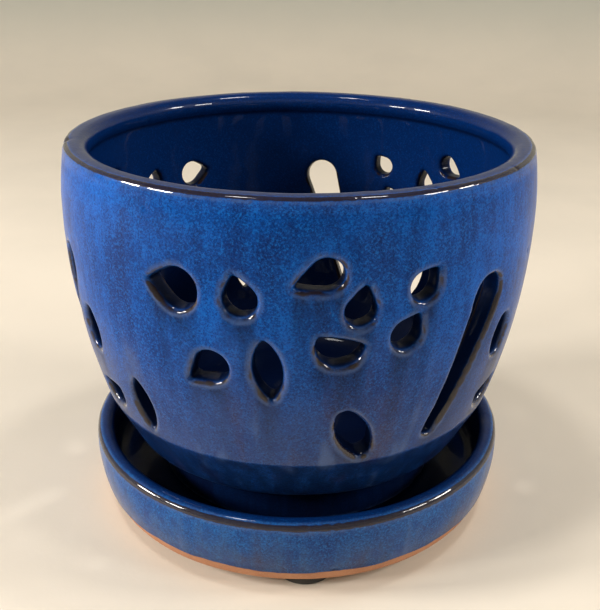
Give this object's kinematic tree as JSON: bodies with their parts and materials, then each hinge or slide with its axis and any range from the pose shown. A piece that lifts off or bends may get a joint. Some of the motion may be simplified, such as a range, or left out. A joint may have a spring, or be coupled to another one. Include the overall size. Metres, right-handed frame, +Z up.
{
  "type": "orchid pot",
  "caption": "Glazed ceramic orchid pot pierced all round with cut slots, standing in a rimmed saucer on small rubber foot pads.",
  "frame": {"origin": "on the table, under the middle of the pot", "axes": "+Z up, -Y towards the front that the picture shows, +X to the right"},
  "size_m": [0.156, 0.156, 0.1304],
  "materials": {
    "pot_glaze": "glossy mottled cobalt glaze that breaks dark brown on the edges",
    "saucer_glaze": "glossy streaked cobalt glaze over a bare clay foot band",
    "pad_rubber": "matt black"
  },
  "bodies": {
    "saucer": {"saucer": "saucer_glaze", "foot_pad_1": "pad_rubber", "foot_pad_2": "pad_rubber", "foot_pad_3": "pad_rubber"},
    "pot": {"pot": "pot_glaze"}
  },
  "joints": [
    {"name": "pot_lift", "type": "slide", "parent": "saucer", "child": "pot", "axis": [0, 0, 1], "range_m": [0, 0.06]}
  ]
}
